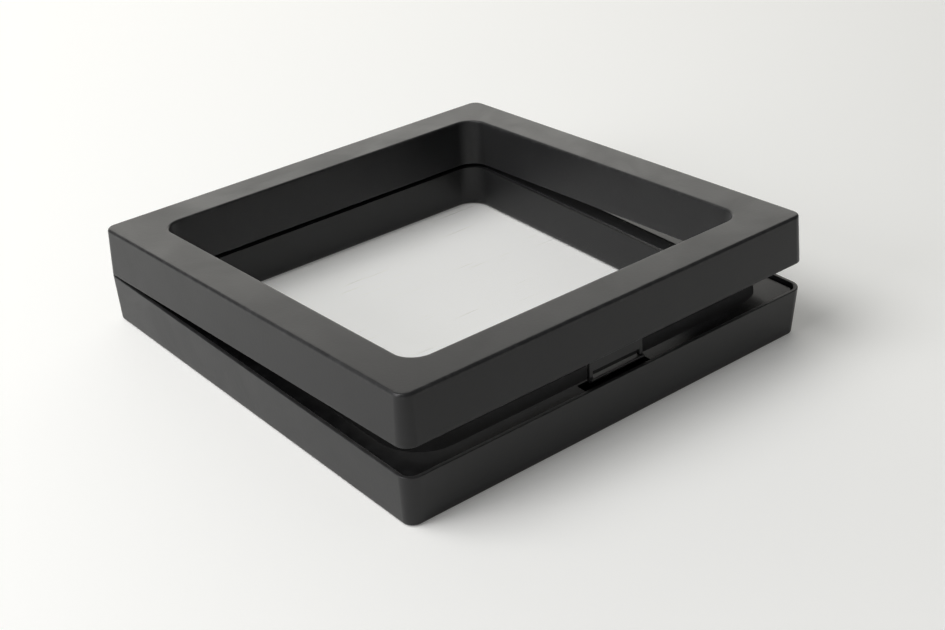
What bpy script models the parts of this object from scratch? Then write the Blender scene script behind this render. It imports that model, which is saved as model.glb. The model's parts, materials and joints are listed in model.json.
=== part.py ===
# Floating display frame: a square clamshell of two moulded halves on a pinned hinge.
# Each half holds a stretched clear film at the seam, and an exhibit hangs between the two films.
# X runs along the hinge, +Y points to the hinge side, +Z is up. Lengths are in millimetres.

import math

import bmesh
import bpy

# The two halves
SIDE = 230.0                # outer side of both halves, at the seam
BASE_HEIGHT = 23.8
LID_HEIGHT = 22.9
BASE_DRAFT = 1.4            # how far each base wall leans in, from the seam to the underside
LID_DRAFT = 1.0             # how far each lid wall leans in, from the seam to the top
OUTER_RADIUS = 6.5          # upright outer corners
BORDER = 20.6               # seam's outer edge to the window's wall
WINDOW_RADIUS = 10.0        # upright window corners
WALL = 2.0
PLATE = 2.2                 # bottom of the base and top of the lid
RIM_CHAMFER = 0.3           # outer edge of each rim
LID_OUTER_EDGE = 1.3        # fillets along the outer faces
LID_WINDOW_EDGE = 1.0
BASE_OUTER_EDGE = 1.2
BASE_WINDOW_EDGE = 2.5
SEAM_GAP = 0.3              # between the rims of the closed frame
OPEN_ANGLE = 3.27           # degrees that the lid stands ajar

# Films and the rings that carry them
FIT = 0.3                   # clearance between pieces that seat in each other
RING_GROOVE = 1.2           # open groove between a rim's wall and the ring
RING_THICKNESS = 1.8
RING_DROP = 1.5             # base ring below the base's rim
RING_GAP = 0.3              # between the two rings of the closed frame
FILM_THICKNESS = 0.2
FILM_LAP = 8.0              # width of film that is welded to its ring
FILM_SEAT = 0.1             # film above the rebate's floor
FILM_SINK = 0.05            # film below the ring's face
PEG_RADIUS = 1.5            # pegs under the ring
PEG_LENGTH = 6.0
PEG_FROM_CORNER = 50.0      # each peg's middle to the nearest corner, along its side
BOSS_WALL = 1.4             # around each peg's socket

# Hinge
HINGE_FROM_CORNER = 50.0    # each hinge's middle to the nearest corner, along its side
AXIS_OUT = 0.4              # axis outside the seam's outer edge
PIN_RADIUS = 1.0
KNUCKLE_WALL = 1.5
LID_KNUCKLE = 16.0          # length of the one lid knuckle in each hinge
BASE_KNUCKLE = 10.0         # length of the two base knuckles beside it
KNUCKLE_GAP = 0.4           # end play between knuckles
KNUCKLE_CLEARANCE = 0.4     # around a knuckle, in the other half's wall
PIN_INSET = 0.5             # pin ends inside the outer knuckles

# Snap latch in the middle of the opening side
TONGUE_WIDTH = 31.0
TONGUE_THICKNESS = 1.8
TONGUE_REACH = 12.8         # below the lid's rim
LIP_LEVEL = 10.8            # catching face of the lip, below the lid's rim
LIP_DEPTH = 1.2
LIP_NOSE = 0.8              # flat front of the lip
SLOT_HEIGHT = 3.0           # slot through the tongue, above the lip
SLOT_SIDE = 1.8             # tongue left at each end of the slot
TIP_CHAMFER = 0.4
ROOT_RISE = 8.0             # root bar above the lid's rim
ROOT_RADIUS = 1.7
CHEEK_THICKNESS = 2.4
CHEEK_RIM = 1.6             # material around the root bar's holes
KEEPER_HEIGHT = 2.2
FLEX_ANGLE = 6.0            # degrees that the tongue gives as it snaps
NOTCH_SIDE = 3.5            # room beside the tongue in the rings

# Facets
CORNER_STEPS = 8
FILLET_STEPS = 3
ROUND_SIDES = 24
LEAST_RADIUS = 0.3

MM = 0.001

# Places that follow from the sizes
half_side = SIDE / 2
lid_rim_z = BASE_HEIGHT + SEAM_GAP
axis_y = half_side + AXIS_OUT
axis_z = BASE_HEIGHT + SEAM_GAP / 2
barrel_radius = PIN_RADIUS + FIT + KNUCKLE_WALL
film_rebate = FILM_SINK + FILM_THICKNESS + FILM_SEAT
ring_outer = WALL + RING_GROOVE
ring_inner = BORDER - WALL - FIT
film_edge = ring_inner - FILM_LAP
peg_inset = BORDER / 2
tongue_face = WALL + BASE_DRAFT + FIT + LIP_DEPTH
tongue_back = tongue_face + TONGUE_THICKNESS
root_inset = tongue_face + TONGUE_THICKNESS / 2
flex_travel = (ROOT_RISE + TONGUE_REACH) * math.tan(math.radians(FLEX_ANGLE))
cheek_half = TONGUE_WIDTH / 2 + FIT + CHEEK_THICKNESS
slot_half = TONGUE_WIDTH / 2 - SLOT_SIDE
centre_y = -(AXIS_OUT + barrel_radius) / 2


class Half:
    """One half of the frame. Depth runs from its rim to its outer face."""

    def __init__(self, name, rim_z, up, height, draft, outer_edge, window_edge, ring_depth):
        self.name = name
        self.rim_z = rim_z
        self.up = up
        self.height = height
        self.draft = draft
        self.outer_edge = outer_edge
        self.window_edge = window_edge
        self.ring_depth = ring_depth

    def z(self, depth):
        return self.rim_z + self.up * depth

    def lean(self, depth):
        return self.draft * depth / self.height


base = Half("base", BASE_HEIGHT, -1, BASE_HEIGHT, BASE_DRAFT,
            BASE_OUTER_EDGE, BASE_WINDOW_EDGE, RING_DROP)
lid = Half("lid", lid_rim_z, 1, LID_HEIGHT, LID_DRAFT,
           LID_OUTER_EDGE, LID_WINDOW_EDGE, RING_GAP - SEAM_GAP - RING_DROP)


def clear_scene():
    for item in list(bpy.data.objects):
        bpy.data.objects.remove(item, do_unlink=True)


def make_material(name, colour, roughness, metallic=0.0):
    material = bpy.data.materials.new(name)
    material.use_nodes = True
    shader = material.node_tree.nodes["Principled BSDF"]
    shader.inputs["Base Color"].default_value = (*colour, 1.0)
    shader.inputs["Roughness"].default_value = roughness
    shader.inputs["Metallic"].default_value = metallic
    return material


def make_empty(name, parent, place, turn_x=0.0):
    empty = bpy.data.objects.new(name, None)
    bpy.context.collection.objects.link(empty)
    empty.parent = parent
    empty.location = [value * MM for value in place]
    empty.rotation_euler.x = math.radians(turn_x)
    return empty


def make_object(name, mesh_data, carrier, material=None):
    """Turn a bmesh in frame millimetres into an object that a carrier empty holds."""
    empty, origin = carrier
    for vert in mesh_data.verts:
        vert.co = [(vert.co[i] - origin[i]) * MM for i in range(3)]
    bmesh.ops.recalc_face_normals(mesh_data, faces=mesh_data.faces)
    mesh = bpy.data.meshes.new(name)
    mesh_data.to_mesh(mesh)
    mesh_data.free()
    item = bpy.data.objects.new(name, mesh)
    bpy.context.collection.objects.link(item)
    item.parent = empty
    if material:
        mesh.materials.append(material)
        mesh.shade_smooth()
        mesh.set_sharp_from_angle(angle=math.radians(35))
    return item


def boolean(target, operation, tool):
    """Cut a tool from a target or join it on, and keep the tool as a hidden guide."""
    modifier = target.modifiers.new(tool.name, "BOOLEAN")
    modifier.operation = operation
    modifier.solver = "EXACT"
    modifier.object = tool
    tool.hide_render = True
    tool.display_type = "WIRE"


def rounded_square(inset, radius):
    """Corner arcs of a square that lies inset from the seam's outer edge."""
    points = []
    reach = half_side - inset - radius
    for quarter, (side_x, side_y) in enumerate(((1, 1), (-1, 1), (-1, -1), (1, -1))):
        for step in range(CORNER_STEPS + 1):
            angle = (quarter + step / CORNER_STEPS) * math.pi / 2
            points.append((side_x * reach + radius * math.cos(angle),
                           side_y * reach + radius * math.sin(angle)))
    return points


def outer_corner(inset):
    return max(OUTER_RADIUS - inset, LEAST_RADIUS)


def window_corner(inset):
    return WINDOW_RADIUS + BORDER - inset


def loft(stations):
    """Closed ring through rounded squares: each station is an inset, a corner radius and a height."""
    mesh_data = bmesh.new()
    loops = []
    for inset, radius, z in stations:
        loops.append([mesh_data.verts.new((x, y, z)) for x, y in rounded_square(inset, radius)])
    for index, loop in enumerate(loops):
        following = loops[(index + 1) % len(loops)]
        for i in range(len(loop)):
            j = (i + 1) % len(loop)
            mesh_data.faces.new((loop[i], loop[j], following[j], following[i]))
    return mesh_data


def add_round(mesh_data, axis, start, end, radius):
    """Add a closed cylinder along X or Z from one end's centre to the other's."""
    ends = []
    for centre in (start, end):
        ring = []
        for side in range(ROUND_SIDES):
            angle = 2 * math.pi * side / ROUND_SIDES
            a, b = radius * math.cos(angle), radius * math.sin(angle)
            offset = (0, a, b) if axis == "x" else (a, b, 0)
            ring.append(mesh_data.verts.new([centre[i] + offset[i] for i in range(3)]))
        ends.append(ring)
    near, far = ends
    mesh_data.faces.new(near)
    mesh_data.faces.new(far)
    for i in range(ROUND_SIDES):
        j = (i + 1) % ROUND_SIDES
        mesh_data.faces.new((near[i], near[j], far[j], far[i]))


def add_prism(mesh_data, left, right, outline):
    """Add a solid along X with an outline of points in Y and Z."""
    ends = [[mesh_data.verts.new((x, y, z)) for y, z in outline] for x in (left, right)]
    mesh_data.faces.new(ends[0])
    mesh_data.faces.new(ends[1])
    for i in range(len(outline)):
        j = (i + 1) % len(outline)
        mesh_data.faces.new((ends[0][i], ends[0][j], ends[1][j], ends[1][i]))


def rectangle(y_low, y_high, z_low, z_high):
    return [(y_low, z_low), (y_high, z_low), (y_high, z_high), (y_low, z_high)]


def front_y(inset):
    """Y of a line that lies inset from the opening side's seam edge."""
    return -half_side + inset


def fillet(edge):
    """Quarter round as pairs that run from 0, edge to edge, 0."""
    turns = [math.pi / 2 * step / FILLET_STEPS for step in range(FILLET_STEPS + 1)]
    return [(edge - edge * math.cos(turn), edge - edge * math.sin(turn)) for turn in turns]


def shell_stations(half):
    """Section of a shell: a channel that opens to the seam, between an outer and a window wall."""
    outer_face = [(half.lean(half.height) + i, half.height - d) for i, d in fillet(half.outer_edge)]
    window_face = [(BORDER - i, half.height - d) for i, d in reversed(fillet(half.window_edge))]
    wall_top = half.ring_depth + film_rebate
    floor = half.height - PLATE
    outside = [(RIM_CHAMFER, 0.0), (half.lean(RIM_CHAMFER), RIM_CHAMFER)] + outer_face
    window_side = window_face + [(BORDER, wall_top), (BORDER - WALL, wall_top), (BORDER - WALL, floor)]
    inside = [(half.lean(floor) + WALL, floor), (WALL, 0.0)]
    stations = [(inset, outer_corner(inset), half.z(depth)) for inset, depth in outside]
    stations += [(inset, window_corner(inset), half.z(depth)) for inset, depth in window_side]
    stations += [(inset, outer_corner(inset), half.z(depth)) for inset, depth in inside]
    return stations


def peg_places():
    """Middles of the pegs: two along each side, halfway across the border."""
    reach = half_side - peg_inset
    along = half_side - PEG_FROM_CORNER
    for sign in (-1, 1):
        for step in (-along, along):
            yield step, sign * reach
            yield sign * reach, step


def hinge_middles():
    reach = half_side - HINGE_FROM_CORNER
    return (-reach, reach)


def knuckle_spans(half, grow=0.0):
    """X spans of one half's knuckles, each made longer by grow at both ends."""
    for middle in hinge_middles():
        inner = LID_KNUCKLE / 2
        if half is lid:
            yield middle - inner - grow, middle + inner + grow
            continue
        start = inner + KNUCKLE_GAP
        for sign in (-1, 1):
            ends = sorted((middle + sign * start, middle + sign * (start + BASE_KNUCKLE)))
            yield ends[0] - grow, ends[1] + grow


def on_axis(x):
    return (x, axis_y, axis_z)


def make_guide(name, carrier, build):
    mesh_data = bmesh.new()
    build(mesh_data)
    return make_object(name, mesh_data, carrier)


def make_shell(half, other, carrier, material):
    """Moulded shell with its peg sockets, its knuckles and room for the other half's knuckles."""
    shell = make_object(half.name + "_shell", loft(shell_stations(half)), carrier, material)
    seat = half.ring_depth + RING_THICKNESS + FIT
    socket_radius = PEG_RADIUS + FIT

    def bosses(mesh_data):
        for x, y in peg_places():
            start = (x, y, half.z(seat))
            end = (x, y, half.z(half.height - PLATE / 2))
            add_round(mesh_data, "z", start, end, socket_radius + BOSS_WALL)

    def sockets(mesh_data):
        for x, y in peg_places():
            start = (x, y, half.z(seat - FIT))
            end = (x, y, half.z(seat + PEG_LENGTH))
            add_round(mesh_data, "z", start, end, socket_radius)

    def knuckle_room(mesh_data):
        for start, end in knuckle_spans(other, KNUCKLE_GAP):
            add_round(mesh_data, "x", on_axis(start), on_axis(end), barrel_radius + KNUCKLE_CLEARANCE)

    def knuckles(mesh_data):
        for start, end in knuckle_spans(half):
            add_round(mesh_data, "x", on_axis(start), on_axis(end), barrel_radius)

    def pin_bores(mesh_data):
        reach = LID_KNUCKLE / 2 + KNUCKLE_GAP + BASE_KNUCKLE + FIT
        for middle in hinge_middles():
            add_round(mesh_data, "x", on_axis(middle - reach), on_axis(middle + reach), PIN_RADIUS + FIT)

    steps = (("UNION", bosses), ("DIFFERENCE", sockets), ("DIFFERENCE", knuckle_room),
             ("UNION", knuckles), ("DIFFERENCE", pin_bores))
    for operation, build in steps:
        boolean(shell, operation, make_guide(half.name + "_" + build.__name__, carrier, build))
    return shell


def make_film_ring(half, carrier, material):
    """Flat ring with a rebate for the film, pegs behind it and a notch for the latch."""
    front = half.ring_depth
    floor = front + film_rebate
    back = front + RING_THICKNESS
    rebate_edge = film_edge - FIT
    section = [(ring_outer, outer_corner(ring_outer), front),
               (ring_outer, outer_corner(ring_outer), back),
               (ring_inner, window_corner(ring_inner), back),
               (ring_inner, window_corner(ring_inner), floor),
               (rebate_edge, window_corner(rebate_edge), floor),
               (rebate_edge, window_corner(rebate_edge), front)]
    stations = [(inset, radius, half.z(depth)) for inset, radius, depth in section]
    ring = make_object(half.name + "_film_ring", loft(stations), carrier, material)

    def pegs(mesh_data):
        for x, y in peg_places():
            start = (x, y, half.z((floor + back) / 2))
            end = (x, y, half.z(back + PEG_LENGTH))
            add_round(mesh_data, "z", start, end, PEG_RADIUS)

    def latch_notch(mesh_data):
        reach = TONGUE_WIDTH / 2 + NOTCH_SIDE
        depths = sorted((half.z(front - FIT), half.z(back + FIT)))
        outline = rectangle(front_y(ring_outer - FIT), front_y(tongue_back + flex_travel), *depths)
        add_prism(mesh_data, -reach, reach, outline)

    boolean(ring, "UNION", make_guide(half.name + "_pegs", carrier, pegs))
    boolean(ring, "DIFFERENCE", make_guide(half.name + "_latch_notch", carrier, latch_notch))
    return ring


def make_film(half, carrier, material):
    """Stretched film in the ring's rebate, across the window."""
    mesh_data = bmesh.new()
    outline = rounded_square(film_edge, window_corner(film_edge))
    depths = (half.ring_depth + FILM_SINK, half.ring_depth + FILM_SINK + FILM_THICKNESS)
    near, far = [[mesh_data.verts.new((x, y, half.z(depth))) for x, y in outline] for depth in depths]
    mesh_data.faces.new(near)
    mesh_data.faces.new(far)
    for i in range(len(outline)):
        j = (i + 1) % len(outline)
        mesh_data.faces.new((near[i], near[j], far[j], far[i]))
    return make_object(half.name + "_film", mesh_data, carrier, material)


def make_hinge_pins(carrier, material):
    reach = LID_KNUCKLE / 2 + KNUCKLE_GAP + BASE_KNUCKLE - PIN_INSET
    for side, middle in zip(("left", "right"), hinge_middles()):
        mesh_data = bmesh.new()
        add_round(mesh_data, "x", on_axis(middle - reach), on_axis(middle + reach), PIN_RADIUS)
        make_object("hinge_pin_" + side, mesh_data, carrier, material)


def root_place():
    """Middle of the latch tongue's root bar, with the lid closed."""
    return (0.0, front_y(root_inset), lid.z(ROOT_RISE))


def make_latch_tongue(carrier, material):
    """Tongue that hangs from a root bar, with a lip on its outer side and a slot above the lip."""
    lip_front = tongue_face - LIP_DEPTH
    side = [(tongue_face, ROOT_RISE),
            (tongue_face, -LIP_LEVEL),
            (lip_front, -LIP_LEVEL),
            (lip_front, -LIP_LEVEL - LIP_NOSE),
            (tongue_face, -TONGUE_REACH),
            (tongue_back - TIP_CHAMFER, -TONGUE_REACH),
            (tongue_back, -TONGUE_REACH + TIP_CHAMFER),
            (tongue_back, ROOT_RISE)]
    mesh_data = bmesh.new()
    outline = [(front_y(inset), lid.z(depth)) for inset, depth in side]
    add_prism(mesh_data, -TONGUE_WIDTH / 2, TONGUE_WIDTH / 2, outline)
    tongue = make_object("latch_tongue", mesh_data, carrier, material)

    def root_bar(mesh_data):
        middle = root_place()
        add_round(mesh_data, "x", (-cheek_half, *middle[1:]), (cheek_half, *middle[1:]), ROOT_RADIUS)

    def slot(mesh_data):
        outline = rectangle(front_y(tongue_face - FIT), front_y(tongue_back + FIT),
                            lid.z(-LIP_LEVEL), lid.z(-LIP_LEVEL + SLOT_HEIGHT))
        add_prism(mesh_data, -slot_half, slot_half, outline)

    boolean(tongue, "UNION", make_guide("root_bar", carrier, root_bar))
    boolean(tongue, "DIFFERENCE", make_guide("tongue_slot", carrier, slot))


def add_latch_seats(base_shell, lid_shell, base_carrier, lid_carrier):
    """Cheeks for the tongue's root bar in the lid, and the keeper that its lip catches in the base."""
    hole_radius = ROOT_RADIUS + FIT
    wall_middle = WALL / 2

    def cheeks(mesh_data):
        low = lid.z(ROOT_RISE - hole_radius - CHEEK_RIM)
        high = lid.z(LID_HEIGHT - PLATE / 2)
        near = front_y(wall_middle + lid.draft)
        far = front_y(root_inset + hole_radius + CHEEK_RIM)
        for sign in (-1, 1):
            ends = sorted((sign * cheek_half, sign * (cheek_half - CHEEK_THICKNESS)))
            add_prism(mesh_data, *ends, rectangle(near, far, low, high))

    def root_holes(mesh_data):
        middle = root_place()
        reach = cheek_half + FIT
        add_round(mesh_data, "x", (-reach, *middle[1:]), (reach, *middle[1:]), hole_radius)

    def keeper(mesh_data):
        bottom = LIP_LEVEL - SEAM_GAP - FIT
        near = front_y(wall_middle + base.draft / 2)
        far = front_y(tongue_face - FIT)
        outline = rectangle(near, far, base.z(bottom), base.z(bottom - KEEPER_HEIGHT))
        reach = slot_half - FIT
        add_prism(mesh_data, -reach, reach, outline)

    boolean(lid_shell, "UNION", make_guide("latch_cheeks", lid_carrier, cheeks))
    boolean(lid_shell, "DIFFERENCE", make_guide("root_holes", lid_carrier, root_holes))
    boolean(base_shell, "UNION", make_guide("latch_keeper", base_carrier, keeper))


def main():
    clear_scene()
    black_abs = {name: make_material(name + " black ABS", (0.022, 0.022, 0.023), roughness)
                 for name, roughness in (("base", 0.36), ("lid", 0.36), ("ring", 0.45), ("latch", 0.4))}
    film = make_material("clear stretched film", (0.92, 0.94, 0.94), 0.08)
    steel = make_material("drawn steel", (0.55, 0.55, 0.56), 0.3, 1.0)

    centre = make_empty("frame_centre", None, (0.0, centre_y, 0.0))
    lid_axis = make_empty("lid_axis", centre, (0.0, axis_y, axis_z), -OPEN_ANGLE)
    root = root_place()
    latch_axis = make_empty("latch_axis", lid_axis, (0.0, root[1] - axis_y, root[2] - axis_z))
    on_base = (centre, (0.0, 0.0, 0.0))
    on_lid = (lid_axis, (0.0, axis_y, axis_z))
    on_latch = (latch_axis, root)

    base_shell = make_shell(base, lid, on_base, black_abs["base"])
    lid_shell = make_shell(lid, base, on_lid, black_abs["lid"])
    add_latch_seats(base_shell, lid_shell, on_base, on_lid)
    for half, carrier in ((base, on_base), (lid, on_lid)):
        make_film_ring(half, carrier, black_abs["ring"])
        make_film(half, carrier, film)
    make_hinge_pins(on_base, steel)
    make_latch_tongue(on_latch, black_abs["latch"])


main()
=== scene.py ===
# Looks of a floating display frame: two black moulded halves on a hinge, with clear films between them.
import json
import math

import bmesh
import bpy
from mathutils import Matrix, Vector


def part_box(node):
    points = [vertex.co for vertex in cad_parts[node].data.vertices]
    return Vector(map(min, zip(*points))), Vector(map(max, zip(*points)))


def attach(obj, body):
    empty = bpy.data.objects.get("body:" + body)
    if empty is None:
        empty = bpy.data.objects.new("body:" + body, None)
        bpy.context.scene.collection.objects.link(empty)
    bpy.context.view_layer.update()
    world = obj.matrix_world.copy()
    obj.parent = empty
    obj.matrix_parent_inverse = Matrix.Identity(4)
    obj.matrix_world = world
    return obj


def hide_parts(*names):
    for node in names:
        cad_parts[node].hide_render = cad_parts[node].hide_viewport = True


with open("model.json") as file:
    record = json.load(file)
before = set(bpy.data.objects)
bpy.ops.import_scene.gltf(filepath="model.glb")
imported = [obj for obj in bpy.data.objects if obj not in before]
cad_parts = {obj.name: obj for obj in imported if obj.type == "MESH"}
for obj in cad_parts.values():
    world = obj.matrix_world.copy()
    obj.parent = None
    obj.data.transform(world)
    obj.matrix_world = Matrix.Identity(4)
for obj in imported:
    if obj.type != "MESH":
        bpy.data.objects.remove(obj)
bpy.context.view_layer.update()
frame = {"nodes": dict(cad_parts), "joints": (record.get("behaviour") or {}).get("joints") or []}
print("frame loaded with", len(frame["nodes"]), "nodes")

mm = 0.001
closeGap = 0.001 * mm        # points nearer than this are one point
levelGap = 0.01 * mm         # heights nearer than this are level
smoothAngle = math.radians(32)
barSides = 40

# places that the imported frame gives
joints = {joint["name"]: joint for joint in frame["joints"]}
hingePlace = Vector(joints["lid_hinge"]["pos_m"])
openTurn = math.radians(joints["lid_hinge"]["range_deg"][0])    # closed to ajar, about X
shellLow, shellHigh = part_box("base_shell")
side = shellHigh.x - shellLow.x
barrelRadius = shellHigh.y - hingePlace.y
middleY = shellLow.y + side / 2

# what both mouldings share, in millimetres
moulding = {
    "outerRadius": 6.5,      # upright outer corners
    "border": 20.6,          # seam's outer edge to the window wall
    "windowRadius": 10.0,    # upright window corners
    "wall": 2.0,
    "plate": 2.2,
    "rimRound": 0.35,        # eased edges of the rim
    "windowRimRound": 0.15,  # eased edge of the window wall at the seam
    "rubAndSheenWidth": 1.2,         # how far from an edge the pale band reaches: handling's rubbing and a painted highlight
    "rimWearAndSheen": 0.6,          # paleness of the edges inside the seam, from rubbing and a painted highlight, where 1 is an outer edge
    "leastRadius": 0.3,
    "cornerSteps": 16,
    "filletSteps": 6,
}

baseHalf = {
    "name": "base", "rim": 23.8, "up": -1, "height": 23.8, "draft": 1.4,
    "outerEdge": 1.2, "windowEdge": 2.5, "ringDepth": 1.5,
}

lidHalf = {
    "name": "lid", "rim": 24.1, "up": 1, "height": 22.9, "draft": 1.0,
    "outerEdge": 1.3, "windowEdge": 1.0, "ringDepth": -1.5,
}


# colours and nodes

def srgb(hexText):
    values = [int(hexText[i:i + 2], 16) / 255 for i in (1, 3, 5)]
    linear = [v / 12.92 if v <= 0.04045 else ((v + 0.055) / 1.055) ** 2.4 for v in values]
    return (*linear, 1.0)


def perMetre(sizeMm):
    return 1 / (sizeMm * mm)


def addNode(tree, kind, inputs=None, **settings):
    node = tree.nodes.new(kind)
    for name, value in settings.items():
        setattr(node, name, value)
    for socket, value in (inputs or {}).items():
        if isinstance(value, bpy.types.NodeSocket):
            tree.links.new(value, node.inputs[socket])
        else:
            node.inputs[socket].default_value = value
    return node


def startMaterial(name):
    material = bpy.data.materials.new(name)
    material.use_nodes = True
    tree = material.node_tree
    return material, tree, tree.nodes["Principled BSDF"]


# ABS moulded in a spark-eroded tool: near black, satin, with a fine even grain that softens reflections,
# a slow unevenness where the plastic shrank as it cooled, and edges a little paler: rubbing plus a painted
# highlight.
# Where a film was welded to it, the heat left it matt.
def mouldedAbs(name, look):
    material, tree, shader = startMaterial(name)
    place = addNode(tree, "ShaderNodeTexCoord").outputs["Object"]
    grain = addNode(tree, "ShaderNodeTexNoise", {
        "Vector": place, "Scale": perMetre(look["grainMm"]), "Detail": 2.0, "Roughness": 0.6})
    smear = addNode(tree, "ShaderNodeTexNoise", {
        "Vector": place, "Scale": perMetre(look["smearMm"]), "Detail": 5.0, "Roughness": 0.62,
        "Distortion": 0.6})
    sink = addNode(tree, "ShaderNodeTexNoise", {
        "Vector": place, "Scale": perMetre(look["sinkMm"]), "Detail": 1.0})
    # pale edges: rubbed patches that also carry a painted highlight along the edges and on the latch lip
    wearAndSheen = addNode(tree, "ShaderNodeAttribute", attribute_name="edgeWearAndSheen")
    patches = addNode(tree, "ShaderNodeTexNoise", {
        "Vector": place, "Scale": perMetre(look["wearAndSheenMm"]), "Detail": 4.0, "Roughness": 0.7})
    rubbedAndSheen = addNode(tree, "ShaderNodeMapRange", {
        "Value": patches.outputs["Fac"], "From Min": look["wearAndSheenFrom"], "From Max": look["wearAndSheenTo"],
        "To Max": look["wearAndSheen"]})
    wornAndSheen = addNode(tree, "ShaderNodeMath", {0: rubbedAndSheen.outputs["Result"], 1: wearAndSheen.outputs["Fac"]},
                   operation="MULTIPLY")
    tone = addNode(tree, "ShaderNodeMix", {
        "Factor": smear.outputs["Fac"], 6: srgb(look["dark"]), 7: srgb(look["pale"])},
        data_type="RGBA")
    colour = addNode(tree, "ShaderNodeMix", {
        "Factor": wornAndSheen.outputs["Value"], 6: tone.outputs[2], 7: srgb(look["rubbedAndSheen"])},
        data_type="RGBA")
    rough = addNode(tree, "ShaderNodeMapRange", {
        "Value": smear.outputs["Fac"], "From Min": look["smearFrom"], "From Max": look["smearTo"],
        "To Min": look["smooth"], "To Max": look["rough"]})
    weld = addNode(tree, "ShaderNodeAttribute", attribute_name="weldBand")
    matt = addNode(tree, "ShaderNodeMix", {
        "Factor": weld.outputs["Fac"], 2: rough.outputs["Result"], 3: look["weldRough"]})
    slow = addNode(tree, "ShaderNodeBump", {
        "Height": sink.outputs["Fac"], "Strength": 1.0, "Distance": look["sinkDepth"] * mm})
    fine = addNode(tree, "ShaderNodeBump", {
        "Height": grain.outputs["Fac"], "Strength": look["grainStrength"],
        "Distance": look["grainDepth"] * mm, "Normal": slow.outputs["Normal"]})
    tree.links.new(colour.outputs[2], shader.inputs["Base Color"])
    tree.links.new(matt.outputs[0], shader.inputs["Roughness"])
    tree.links.new(fine.outputs["Normal"], shader.inputs["Normal"])
    shader.inputs["IOR"].default_value = look["ior"]
    return material


# the pale edge colour stands for rubbing and for a painted highlight
shellLook = {
    "dark": "#1e1e1f", "pale": "#2a2a2a", "rubbedAndSheen": "#4a4a4b", "ior": 1.37,
    "smooth": 0.28, "rough": 0.4, "weldRough": 0.95,
    "wearAndSheen": 0.35, "wearAndSheenMm": 5.0, "wearAndSheenFrom": 0.45, "wearAndSheenTo": 0.75,
    "grainMm": 1.3,          # the real grain is about 0.1 mm, too fine to show
    "grainDepth": 0.05, "grainStrength": 0.5,
    "smearMm": 30.0, "smearFrom": 0.3, "smearTo": 0.7, "sinkMm": 60.0, "sinkDepth": 0.06,
}
# The ring is darker than the shell: painted shade, for the lid's shade over the ring in the gap between
# the halves.
shadedRingLook = dict(shellLook, dark="#0e0e0f", pale="#131314", smooth=0.16, rough=0.22, wearAndSheen=0.2,
                grainStrength=0.15)
# The tongue's lip is painted fully pale: a painted highlight on the lip's lit front.
paintedLipTongueLook = dict(shellLook, wearAndSheen=1.0)


# Thermoplastic polyurethane film, cast and stretched: clear, with a faint haze, a slow ripple in its gloss
# and sparse hairline scuffs from handling.
def castFilm(name):
    material, tree, shader = startMaterial(name)
    place = addNode(tree, "ShaderNodeTexCoord").outputs["Object"]
    haze = addNode(tree, "ShaderNodeTexNoise", {
        "Vector": place, "Scale": perMetre(filmSheet["hazeMm"]), "Detail": 3.0})
    veil = addNode(tree, "ShaderNodeMapRange", {
        "Value": haze.outputs["Fac"], "From Min": filmSheet["hazeFrom"], "From Max": filmSheet["hazeTo"],
        "To Min": filmSheet["clearest"], "To Max": filmSheet["haziest"]})
    slant = addNode(tree, "ShaderNodeMapping", {
        "Vector": place, "Rotation": (0, 0, math.radians(filmSheet["scuffTurn"])),
        "Scale": (filmSheet["scuffWidthMm"] / filmSheet["scuffLengthMm"], 1.0, 1.0)})
    hairs = addNode(tree, "ShaderNodeTexNoise", {
        "Vector": slant.outputs["Vector"], "Scale": perMetre(filmSheet["scuffWidthMm"]), "Detail": 2.0})
    scuff = addNode(tree, "ShaderNodeMapRange", {
        "Value": hairs.outputs["Fac"], "From Min": filmSheet["scuffFrom"],
        "From Max": filmSheet["scuffTo"], "To Max": filmSheet["scuff"]})
    alpha = addNode(tree, "ShaderNodeMath", {0: veil.outputs["Result"], 1: scuff.outputs["Result"]},
                    operation="ADD")
    colour = addNode(tree, "ShaderNodeMix", {
        "Factor": scuff.outputs["Result"], 6: srgb(filmSheet["colour"]),
        7: srgb(filmSheet["scuffColour"])}, data_type="RGBA")
    ripple = addNode(tree, "ShaderNodeTexNoise", {
        "Vector": place, "Scale": perMetre(filmSheet["rippleMm"]), "Detail": 1.0})
    bump = addNode(tree, "ShaderNodeBump", {
        "Height": ripple.outputs["Fac"], "Strength": 1.0, "Distance": filmSheet["rippleDepth"] * mm})
    tree.links.new(colour.outputs[2], shader.inputs["Base Color"])
    tree.links.new(alpha.outputs["Value"], shader.inputs["Alpha"])
    tree.links.new(bump.outputs["Normal"], shader.inputs["Normal"])
    shader.inputs["Roughness"].default_value = filmSheet["roughness"]
    shader.inputs["IOR"].default_value = filmSheet["ior"]
    return material


# Drawn steel wire: grey metal with fine lines along its length.
def drawnSteel(name):
    material, tree, shader = startMaterial(name)
    place = addNode(tree, "ShaderNodeTexCoord").outputs["Object"]
    along = addNode(tree, "ShaderNodeMapping", {
        "Vector": place, "Scale": (pinShape["lineStretch"], 1.0, 1.0)})
    lines = addNode(tree, "ShaderNodeTexNoise", {
        "Vector": along.outputs["Vector"], "Scale": perMetre(pinShape["lineMm"]), "Detail": 3.0})
    rough = addNode(tree, "ShaderNodeMapRange", {
        "Value": lines.outputs["Fac"], "To Min": pinShape["smooth"], "To Max": pinShape["rough"]})
    tree.links.new(rough.outputs["Result"], shader.inputs["Roughness"])
    shader.inputs["Base Color"].default_value = srgb(pinShape["colour"])
    shader.inputs["Metallic"].default_value = 1.0
    return material


# modelling helpers

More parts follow.
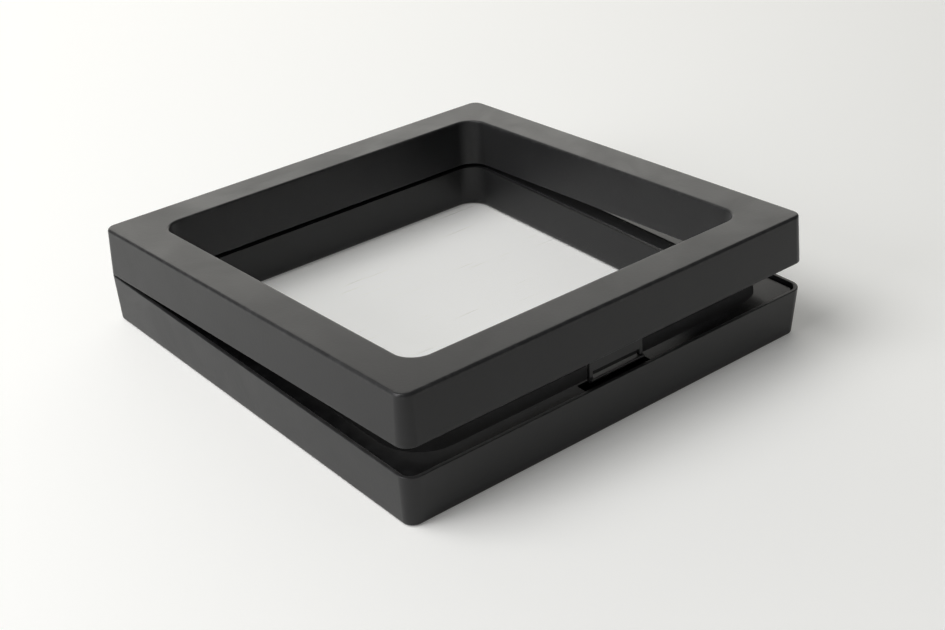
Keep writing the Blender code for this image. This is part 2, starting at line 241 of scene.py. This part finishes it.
def startPiece(name):
    bpy.ops.object.select_all(action="DESELECT")
    bpy.ops.mesh.primitive_plane_add(size=side)
    piece = bpy.context.object
    piece.name = name
    piece.data.name = name
    bpy.ops.object.mode_set(mode="EDIT")
    bpy.ops.mesh.select_all(action="SELECT")
    bpy.ops.mesh.delete(type="VERT")
    return piece


def roundedSquare(inset, radius, z):
    bpy.ops.mesh.select_all(action="DESELECT")
    bpy.ops.mesh.primitive_plane_add(size=side - 2 * inset * mm, location=(0, middleY, z * mm))
    bpy.ops.mesh.bevel(offset=radius * mm, offset_type="OFFSET", segments=moulding["cornerSteps"],
                       profile=0.5, affect="VERTICES")


def loftPiece(name, stations):
    piece = startPiece(name)
    inset, radius, z, wearAndSheen = stations[0]
    roundedSquare(inset, radius, z)
    bpy.ops.mesh.delete(type="ONLY_FACE")
    mesh = bmesh.from_edit_mesh(piece.data)
    edgeWearAndSheen = mesh.verts.layers.float.new("edgeWearAndSheen")
    for vert in mesh.verts:
        vert[edgeWearAndSheen] = wearAndSheen
    bpy.ops.mesh.select_all(action="SELECT")
    for old, new in zip(stations, stations[1:] + stations[:1]):
        bpy.ops.mesh.extrude_edges_move()
        mesh = bmesh.from_edit_mesh(piece.data)
        edgeWearAndSheen = mesh.verts.layers.float["edgeWearAndSheen"]
        for vert in mesh.verts:
            if vert.select:
                vert.co = followCorner(vert.co, old, new)
                vert[edgeWearAndSheen] = new[3]
        bmesh.update_edit_mesh(piece.data)
    bpy.ops.mesh.select_all(action="SELECT")
    bpy.ops.mesh.remove_doubles(threshold=closeGap)        # closes the last station on the first
    bpy.ops.mesh.normals_make_consistent(inside=False)
    bpy.ops.object.mode_set(mode="OBJECT")
    return piece


def followCorner(point, old, new):
    grow = new[1] / old[1]
    place = []
    for value, middle in ((point.x, 0.0), (point.y, middleY)):
        sign = math.copysign(1.0, value - middle)
        oldCentre, newCentre = [middle + sign * (side / 2 - (s[0] + s[1]) * mm) for s in (old, new)]
        place.append(newCentre + (value - oldCentre) * grow)
    return Vector((*place, new[2] * mm))


def applyBoolean(piece, tool, operation):
    bpy.ops.object.select_all(action="DESELECT")
    bpy.context.view_layer.objects.active = piece
    piece.select_set(True)
    bpy.ops.object.modifier_add(type="BOOLEAN")
    modifier = piece.modifiers[-1]
    modifier.operation = operation
    modifier.object = tool
    bpy.ops.object.modifier_apply(modifier=modifier.name)
    bpy.data.objects.remove(tool)


def roundBar(start, end, radius, along, easing):
    bpy.ops.object.select_all(action="DESELECT")
    turn = (0, math.pi / 2, 0) if along == "x" else (0, 0, 0)
    start = Vector(start)
    end = Vector(end)
    bpy.ops.mesh.primitive_cylinder_add(vertices=barSides, radius=radius, depth=(end - start).length,
                                        location=(start + end) / 2, rotation=turn)
    bar = bpy.context.object
    bpy.ops.object.transform_apply(location=True, rotation=True, scale=True)
    if easing:
        bpy.ops.object.mode_set(mode="EDIT")
        bpy.ops.mesh.select_all(action="DESELECT")
        mesh = bmesh.from_edit_mesh(bar.data)
        for face in mesh.faces:
            face.select = len(face.verts) == barSides
        bmesh.update_edit_mesh(bar.data)
        bpy.ops.mesh.region_to_loop()
        bpy.ops.mesh.bevel(offset=easing * mm, segments=3, affect="EDGES")
        bpy.ops.object.mode_set(mode="OBJECT")
    return bar


def block(low, high, easing):
    bpy.ops.object.select_all(action="DESELECT")
    low = Vector(low)
    high = Vector(high)
    bpy.ops.mesh.primitive_cube_add(size=1, location=(low + high) / 2)
    piece = bpy.context.object
    piece.scale = high - low
    bpy.ops.object.transform_apply(location=True, rotation=True, scale=True)
    if easing:
        bpy.ops.object.mode_set(mode="EDIT")
        bpy.ops.mesh.select_all(action="SELECT")
        bpy.ops.mesh.bevel(offset=easing * mm, segments=2, affect="EDGES")
        bpy.ops.object.mode_set(mode="OBJECT")
    return piece


def joinPieces(pieces):
    bpy.ops.object.select_all(action="DESELECT")
    for piece in pieces:
        piece.select_set(True)
    bpy.context.view_layer.objects.active = pieces[0]
    bpy.ops.object.join()
    return pieces[0]


def finishPiece(piece, half, body, node, material):
    bpy.ops.object.select_all(action="DESELECT")
    bpy.context.view_layer.objects.active = piece
    piece.select_set(True)
    bpy.ops.object.transform_apply(location=True, rotation=True, scale=True)
    if half is lidHalf:
        aside = Matrix.Translation(hingePlace)
        piece.data.transform(aside @ Matrix.Rotation(openTurn, 4, "X") @ aside.inverted())
    bpy.ops.object.shade_smooth_by_angle(angle=smoothAngle)
    bpy.ops.object.modifier_add(type="WEIGHTED_NORMAL")
    piece.modifiers[-1].keep_sharp = True
    bpy.ops.object.modifier_apply(modifier=piece.modifiers[-1].name)
    piece.data.materials.clear()
    piece.data.materials.append(material)
    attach(piece, body)
    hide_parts(node)
    print(node, "made with", len(piece.data.polygons), "faces")


# the two shells

hinge = {
    "fromCorner": 50.0,      # each hinge's middle to the nearest corner
    "lidKnuckle": 16.0,
    "baseKnuckle": 10.0,
    "gap": 0.4,              # end play between knuckles
    "clearance": 0.4,        # around a knuckle, in the other half's wall
    "easing": 0.35,
    "bore": 1.3,
    "boreOverrun": 1.0,
}

peg = {
    "fromCorner": 50.0,      # each peg's middle to the nearest corner
    "radius": 1.5,
    "length": 6.0,
    "room": 0.3,
    "bossWall": 1.4,
    "easing": 0.25,
}

latch = {
    "width": 31.0, "thickness": 1.8, "reach": 12.8,
    "face": 4.9,             # outer face of the tongue, from the seam's outer edge
    "lipLevel": 10.8, "lipDepth": 1.2, "lipNose": 0.8,
    "slotHeight": 3.0, "slotSide": 1.8,
    "rootRise": 8.0, "rootRadius": 1.7, "room": 0.3,
    "cheek": 2.4, "cheekRim": 1.6,
    "keeperHeight": 2.2, "flex": 2.2, "notchSide": 3.5,
    "leadIn": 0.25,          # how far the tip still stands proud of the face
    "easing": 0.25, "rootEasing": 0.3, "seatEasing": 0.2,
    "overrun": 1.0,          # how far a cut runs past what it cuts
}


def heightAt(half, depth):
    return half["rim"] + half["up"] * depth


def outerCorner(inset):
    return max(moulding["outerRadius"] - inset, moulding["leastRadius"])


def windowCorner(inset):
    return moulding["windowRadius"] + moulding["border"] - inset


def fillet(edge, steps):
    turns = [math.pi / 2 * step / steps for step in range(steps + 1)]
    return [(edge * (1 - math.cos(turn)), edge * (1 - math.sin(turn))) for turn in turns]


filmRing = {
    "thickness": 1.8,
    "rebate": 0.35,          # depth of the film's seat
    "groove": 1.2,           # between the outer wall and the ring
    "room": 0.3,             # between the ring and the window wall, and round the film
    "weld": 8.0,             # width of film welded to the ring
    "easing": 0.15,
}
ringOuter = moulding["wall"] + filmRing["groove"]
ringInner = moulding["border"] - moulding["wall"] - filmRing["room"]
filmEdge = ringInner - filmRing["weld"]


def shellStations(half):
    height = half["height"]
    rim = moulding["rimRound"]
    wallTop = half["ringDepth"] + filmRing["rebate"]
    floor = height - moulding["plate"]
    border = moulding["border"]
    wall = moulding["wall"]
    steps = moulding["filletSteps"]
    rubAndSheen = moulding["rubAndSheenWidth"]
    wallEnd = height - half["outerEdge"]
    rimOut = [(i, d, 1) for i, d in reversed(fillet(rim, 3))]
    slope = [(half["draft"] * (d - rim) / (wallEnd - rim), d, 0) for d in (rim + rubAndSheen, wallEnd - rubAndSheen)]
    face = [(half["draft"] + i, height - d, 1) for i, d in fillet(half["outerEdge"], steps)]
    face.append((half["draft"] + half["outerEdge"] + rubAndSheen, height, 0))
    window = [(border - half["windowEdge"] - rubAndSheen, height, 0)]
    window += [(border - i, height - d, 1) for i, d in reversed(fillet(half["windowEdge"], steps))]
    windowRim = moulding["windowRimRound"]
    window += [(border, d, 0) for d in (height - half["windowEdge"] - rubAndSheen, wallTop + windowRim + rubAndSheen)]
    top = [(border - i, wallTop + d, moulding["rimWearAndSheen"]) for i, d in fillet(windowRim, 2)]
    back = [(border - wall, wallTop, 0), (border - wall, floor, 0)]
    inside = [(half["draft"] * floor / height + wall, floor, 0), (wall, rim, 0),
              (wall - rim, 0.0, moulding["rimWearAndSheen"])]
    outside = [(i, outerCorner(i), d, w) for i, d, w in rimOut + slope + face]
    middle = [(i, windowCorner(i), d, w) for i, d, w in window + top + back]
    inner = [(i, outerCorner(i), d, w) for i, d, w in inside]
    return [(i, r, heightAt(half, d), w) for i, r, d, w in outside + middle + inner]


def pegPlaces():
    reach = side / 2 - moulding["border"] / 2 * mm
    along = side / 2 - peg["fromCorner"] * mm
    for sign in (-1, 1):
        for step in (-along, along):
            yield step, middleY + sign * reach
            yield sign * reach, middleY + step


def hingeMiddles():
    reach = side / 2 / mm - hinge["fromCorner"]
    return (-reach, reach)


def knuckleSpans(half, grow=0.0):
    inner = hinge["lidKnuckle"] / 2
    for middle in hingeMiddles():
        if half is lidHalf:
            yield middle - inner - grow, middle + inner + grow
            continue
        for sign in (-1, 1):
            near = middle + sign * (inner + hinge["gap"])
            far = near + sign * hinge["baseKnuckle"]
            yield min(near, far) - grow, max(near, far) + grow


def onHinge(x):
    return (x * mm, hingePlace.y, hingePlace.z)


def hingeBars(spans, radius, easing):
    return joinPieces([roundBar(onHinge(a), onHinge(b), radius, "x", easing) for a, b in spans])


def frontY(inset):
    return middleY - side / 2 + inset * mm


def makeShell(half, other):
    shell = loftPiece(half["name"] + "Shell", shellStations(half))
    seat = half["ringDepth"] + filmRing["thickness"] + peg["room"]
    socket = peg["radius"] + peg["room"]
    bosses = []
    sockets = []
    for x, y in pegPlaces():
        ends = [heightAt(half, d) * mm for d in (seat, half["height"] - moulding["plate"] / 2)]
        bosses.append(roundBar((x, y, ends[0]), (x, y, ends[1]), (socket + peg["bossWall"]) * mm, "z", 0))
        ends = [heightAt(half, d) * mm for d in (seat - peg["room"], seat + peg["length"])]
        sockets.append(roundBar((x, y, ends[0]), (x, y, ends[1]), socket * mm, "z", 0))
    applyBoolean(shell, joinPieces(bosses), "UNION")
    applyBoolean(shell, joinPieces(sockets), "DIFFERENCE")
    room = barrelRadius + hinge["clearance"] * mm
    applyBoolean(shell, hingeBars(knuckleSpans(other, hinge["gap"]), room, 0), "DIFFERENCE")
    applyBoolean(shell, hingeBars(knuckleSpans(half), barrelRadius, hinge["easing"]), "UNION")
    reach = hinge["lidKnuckle"] / 2 + hinge["gap"] + hinge["baseKnuckle"] + hinge["boreOverrun"]
    bores = [(m - reach, m + reach) for m in hingeMiddles()]
    applyBoolean(shell, hingeBars(bores, hinge["bore"] * mm, 0), "DIFFERENCE")
    return shell


def addLatchSeats(baseShell, lidShell):
    half = latch["width"] / 2
    hole = latch["rootRadius"] + latch["room"]
    root = latch["face"] + latch["thickness"] / 2
    outerX = half + latch["room"] + latch["cheek"]
    low = heightAt(lidHalf, latch["rootRise"] - hole - latch["cheekRim"])
    high = heightAt(lidHalf, lidHalf["height"] - moulding["plate"] / 2)
    near = moulding["wall"] / 2 + lidHalf["draft"]
    far = root + hole + latch["cheekRim"]
    cheeks = []
    for sign in (-1, 1):
        ends = sorted((sign * outerX, sign * (outerX - latch["cheek"])))
        cheeks.append(block((ends[0] * mm, frontY(near), low * mm),
                            (ends[1] * mm, frontY(far), high * mm), latch["seatEasing"]))
    applyBoolean(lidShell, joinPieces(cheeks), "UNION")
    rootZ = heightAt(lidHalf, latch["rootRise"]) * mm
    reach = (outerX + latch["overrun"]) * mm
    holes = roundBar((-reach, frontY(root), rootZ), (reach, frontY(root), rootZ), hole * mm, "x", 0)
    applyBoolean(lidShell, holes, "DIFFERENCE")
    bottom = latch["lipLevel"] - 2 * latch["room"]
    reach = (half - latch["slotSide"] - latch["room"]) * mm
    keeperLow = (-reach, frontY(moulding["wall"] / 2 + baseHalf["draft"] / 2),
                 heightAt(baseHalf, bottom) * mm)
    keeperHigh = (reach, frontY(latch["face"] - latch["room"]),
                  heightAt(baseHalf, bottom - latch["keeperHeight"]) * mm)
    applyBoolean(baseShell, block(keeperLow, keeperHigh, latch["seatEasing"]), "UNION")


# film rings, films, pins and the tongue

def makeFilmRing(half):
    front = half["ringDepth"]
    back = front + filmRing["thickness"]
    floor = front + filmRing["rebate"]
    step = filmEdge - filmRing["room"]
    ease = filmRing["easing"]
    outside = [(ringOuter + ease, front, 1), (ringOuter, front + ease, 1), (ringOuter, back - ease, 0),
               (ringOuter + ease, back, 0)]
    inside = [(ringInner, back, 0), (ringInner, floor + ease, 0), (ringInner - ease, floor, 0.5),
              (step, floor, 0), (step, front + ease, 0), (step - ease, front, 1)]
    stations = [(i, outerCorner(i), heightAt(half, d), w) for i, d, w in outside]
    stations += [(i, windowCorner(i), heightAt(half, d), w) for i, d, w in inside]
    ring = loftPiece(half["name"] + "FilmRing", stations)
    pegs = []
    for x, y in pegPlaces():
        ends = [heightAt(half, d) * mm for d in ((floor + back) / 2, back + peg["length"])]
        pegs.append(roundBar((x, y, ends[0]), (x, y, ends[1]), peg["radius"] * mm, "z", peg["easing"]))
    applyBoolean(ring, joinPieces(pegs), "UNION")
    reach = (latch["width"] / 2 + latch["notchSide"]) * mm
    past = latch["overrun"]
    zs = sorted(heightAt(half, d) * mm for d in (front - past, back + past))
    deep = latch["face"] + latch["thickness"] + latch["flex"]
    notch = block((-reach, frontY(ringOuter - past), zs[0]), (reach, frontY(deep), zs[1]), 0)
    applyBoolean(ring, notch, "DIFFERENCE")
    weld = ring.data.attributes.new("weldBand", "FLOAT", "POINT")
    level = heightAt(half, floor) * mm
    for vert, spot in zip(ring.data.vertices, weld.data):      # floor of the rebate
        spot.value = 1.0 if abs(vert.co.z - level) < levelGap else 0.0
    return ring


filmSheet = {
    "thickness": 0.2, "sink": 0.05, "colour": "#3a3c3c", "roughness": 0.08, "ior": 1.5,
    "clearest": 0.002, "haziest": 0.006, "hazeMm": 60.0, "hazeFrom": 0.35, "hazeTo": 0.7,
    "rippleMm": 80.0, "rippleDepth": 0.2,
    "scuff": 0.12, "scuffFrom": 0.7, "scuffTo": 0.8, "scuffColour": "#ffffff",
    "scuffWidthMm": 1.2,     # drawn coarser than a real scuff
    "scuffLengthMm": 40.0, "scuffTurn": 28.0,
}


def makeFilm(half):
    film = startPiece(half["name"] + "Film")
    depth = half["ringDepth"] + filmSheet["sink"]
    roundedSquare(filmEdge, windowCorner(filmEdge), heightAt(half, depth))
    lift = half["up"] * filmSheet["thickness"] * mm
    bpy.ops.mesh.extrude_region_move(TRANSFORM_OT_translate={"value": (0, 0, lift)})
    bpy.ops.mesh.select_all(action="SELECT")
    bpy.ops.mesh.normals_make_consistent(inside=False)
    bpy.ops.object.mode_set(mode="OBJECT")
    return film


pinShape = {
    "radius": 1.0, "inset": 0.5, "easing": 0.3,
    "colour": "#b9b9ba", "smooth": 0.22, "rough": 0.42, "lineMm": 0.12, "lineStretch": 0.05,
}


def makePins(material):
    reach = hinge["lidKnuckle"] / 2 + hinge["gap"] + hinge["baseKnuckle"] - pinShape["inset"]
    for name, middle in zip(("left", "right"), hingeMiddles()):
        pin = roundBar(onHinge(middle - reach), onHinge(middle + reach), pinShape["radius"] * mm, "x",
                       pinShape["easing"])
        pin.name = "hingePin" + name.capitalize()
        finishPiece(pin, baseHalf, "base", "hinge_pin_" + name, material)


def makeTongue():
    half = latch["width"] / 2 * mm
    face = latch["face"]
    backY = frontY(face + latch["thickness"])
    tipZ = heightAt(lidHalf, -latch["reach"]) * mm
    lipZ = heightAt(lidHalf, -latch["lipLevel"]) * mm
    rootZ = heightAt(lidHalf, latch["rootRise"]) * mm
    near = 0.1 * mm
    tongue = block((-half, frontY(face), tipZ), (half, backY, rootZ), 0)
    tongue.name = "latchTongue"
    bpy.ops.object.mode_set(mode="EDIT")
    bpy.ops.mesh.select_all(action="SELECT")
    bpy.ops.mesh.bisect(plane_co=(0, 0, lipZ), plane_no=(0, 0, 1))
    bpy.ops.mesh.select_all(action="SELECT")
    bpy.ops.mesh.bisect(plane_co=(0, 0, lipZ - latch["lipNose"] * mm), plane_no=(0, 0, 1))
    bpy.ops.mesh.select_all(action="DESELECT")
    mesh = bmesh.from_edit_mesh(tongue.data)
    for panel in mesh.faces:                                # front of the tongue below the lip's level
        middle = panel.calc_center_median()
        panel.select = panel.normal.y < -0.9 and middle.z < lipZ
    bmesh.update_edit_mesh(tongue.data)
    bpy.ops.mesh.extrude_region_move(TRANSFORM_OT_translate={"value": (0, -latch["lipDepth"] * mm, 0)})
    bpy.ops.mesh.select_all(action="DESELECT")
    mesh = bmesh.from_edit_mesh(tongue.data)
    for vert in mesh.verts:                                 # bring the tip back for the lead-in ramp
        if vert.co.z < tipZ + near and vert.co.y < frontY(face) - near:
            vert.co.y = frontY(face - latch["leadIn"])
    bmesh.update_edit_mesh(tongue.data)
    bpy.ops.mesh.select_all(action="SELECT")
    bpy.ops.mesh.remove_doubles(threshold=levelGap)
    bpy.ops.mesh.normals_make_consistent(inside=False)
    bpy.ops.object.mode_set(mode="OBJECT")
    bpy.ops.object.modifier_add(type="BEVEL")
    tongue.modifiers[-1].width = latch["easing"] * mm
    tongue.modifiers[-1].segments = 2
    tongue.modifiers[-1].limit_method = "ANGLE"
    bpy.ops.object.modifier_apply(modifier=tongue.modifiers[-1].name)
    root = frontY(face + latch["thickness"] / 2)
    reach = half + (latch["room"] + latch["cheek"]) * mm
    bar = roundBar((-reach, root, rootZ), (reach, root, rootZ), latch["rootRadius"] * mm, "x",
                   latch["rootEasing"])
    applyBoolean(tongue, bar, "UNION")
    slotReach = half - latch["slotSide"] * mm
    slotTop = lipZ + latch["slotHeight"] * mm
    slot = block((-slotReach, frontY(face - latch["room"]), lipZ),
                 (slotReach, backY + latch["room"] * mm, slotTop), 0)
    applyBoolean(tongue, slot, "DIFFERENCE")
    wearAndSheen = tongue.data.attributes.new("edgeWearAndSheen", "FLOAT", "POINT")
    for vert, spot in zip(tongue.data.vertices, wearAndSheen.data):    # the lip is painted pale, a painted highlight on its lit front
        spot.value = 1.0 if vert.co.z < lipZ + latch["easing"] * mm else 0.0
    return tongue


# build

shellAbs = mouldedAbs("moulded black ABS shell", shellLook)
shadedRingAbs = mouldedAbs("moulded black ABS ring darkened by painted shade", shadedRingLook)
paintedLipTongueAbs = mouldedAbs("moulded black ABS tongue with painted lip highlight", paintedLipTongueLook)
filmClear = castFilm("cast polyurethane film")
steel = drawnSteel("drawn steel wire")

baseShell = makeShell(baseHalf, lidHalf)
lidShell = makeShell(lidHalf, baseHalf)
addLatchSeats(baseShell, lidShell)
finishPiece(baseShell, baseHalf, "base", "base_shell", shellAbs)
finishPiece(lidShell, lidHalf, "lid", "lid_shell", shellAbs)

for half in (baseHalf, lidHalf):
    name = half["name"]
    finishPiece(makeFilmRing(half), half, name, name + "_film_ring", shadedRingAbs)
    film = makeFilm(half)
    finishPiece(film, half, name, name + "_film", filmClear)

makePins(steel)
finishPiece(makeTongue(), lidHalf, "latch", "latch_tongue", paintedLipTongueAbs)


# studio: pale floor, soft lights and the camera

floorLook = {
    "colour": "#f6f6f3", "roughness": 0.7, "gloss": 0.2,
    "size": 8.0,             # metres
    "drop": 0.1,             # millimetres under the frame
    "lift": 0.13,            # glow that only the camera and reflections see
}

bpy.ops.object.select_all(action="DESELECT")
bpy.ops.mesh.primitive_plane_add(size=floorLook["size"], location=(0, 0, -floorLook["drop"] * mm))
floor = bpy.context.object
floor.name = "studioFloor"
floorPaper, tree, shader = startMaterial("matt white paper")
shader.inputs["Base Color"].default_value = srgb(floorLook["colour"])
shader.inputs["Roughness"].default_value = floorLook["roughness"]
shader.inputs["Specular IOR Level"].default_value = floorLook["gloss"]
path = addNode(tree, "ShaderNodeLightPath")
seen = addNode(tree, "ShaderNodeMath", {
    0: path.outputs["Is Camera Ray"], 1: path.outputs["Is Glossy Ray"]}, operation="MAXIMUM")
seen = addNode(tree, "ShaderNodeMath", {
    0: seen.outputs["Value"], 1: path.outputs["Is Transmission Ray"]}, operation="MAXIMUM")
lift = addNode(tree, "ShaderNodeMath", {0: seen.outputs["Value"], 1: floorLook["lift"]},
               operation="MULTIPLY")
shader.inputs["Emission Color"].default_value = srgb(floorLook["colour"])
tree.links.new(lift.outputs["Value"], shader.inputs["Emission Strength"])
floor.data.materials.append(floorPaper)

lamps = [
    {"name": "leftSoftbox", "place": (-1.75, 0.25, 0.65), "size": (1.0, 1.0),
     "power": 13.0, "colour": "#fdfbff"},
    {"name": "topSoftbox", "place": (-0.85, 0.45, 1.45), "size": (1.1, 1.1),
     "power": 20.0, "colour": "#ffffff"},
    {"name": "backCard", "place": (0.7, 1.2, 0.42), "size": (2.2, 0.7),
     "power": 8.4, "colour": "#fffdf7"},
]
for lamp in lamps:
    bpy.ops.object.light_add(type="AREA", location=lamp["place"])
    light = bpy.context.object
    light.name = lamp["name"]
    light.data.energy = lamp["power"]
    light.data.shape = "RECTANGLE"
    light.data.size, light.data.size_y = lamp["size"]
    light.data.color = srgb(lamp["colour"])[:3]
    light.rotation_euler = (-Vector(lamp["place"])).to_track_quat("-Z", "Y").to_euler()

roomLight = {"colour": "#ffffff", "strength": 0.15}
world = bpy.data.worlds.new("studioWorld")
bpy.context.scene.world = world
world.use_nodes = True
background = world.node_tree.nodes["Background"]
background.inputs["Color"].default_value = srgb(roomLight["colour"])
background.inputs["Strength"].default_value = roomLight["strength"]

photoView = {
    "place": (-411.73, -520.05, 379.43),       # millimetres
    "turn": (60.445, 1.344, -40.100),          # degrees
    "lens": 61.51,
    "sensor": 36.0,
    "nearest": 0.01,                           # metres
}
bpy.ops.object.camera_add(location=[v * mm for v in photoView["place"]],
                          rotation=[math.radians(v) for v in photoView["turn"]])
camera = bpy.context.object
camera.name = "photoCamera"
camera.data.lens = photoView["lens"]
camera.data.sensor_width = photoView["sensor"]
camera.data.clip_start = photoView["nearest"]
bpy.context.scene.camera = camera
bpy.context.scene.view_settings.view_transform = "Standard"
print("studio ready")
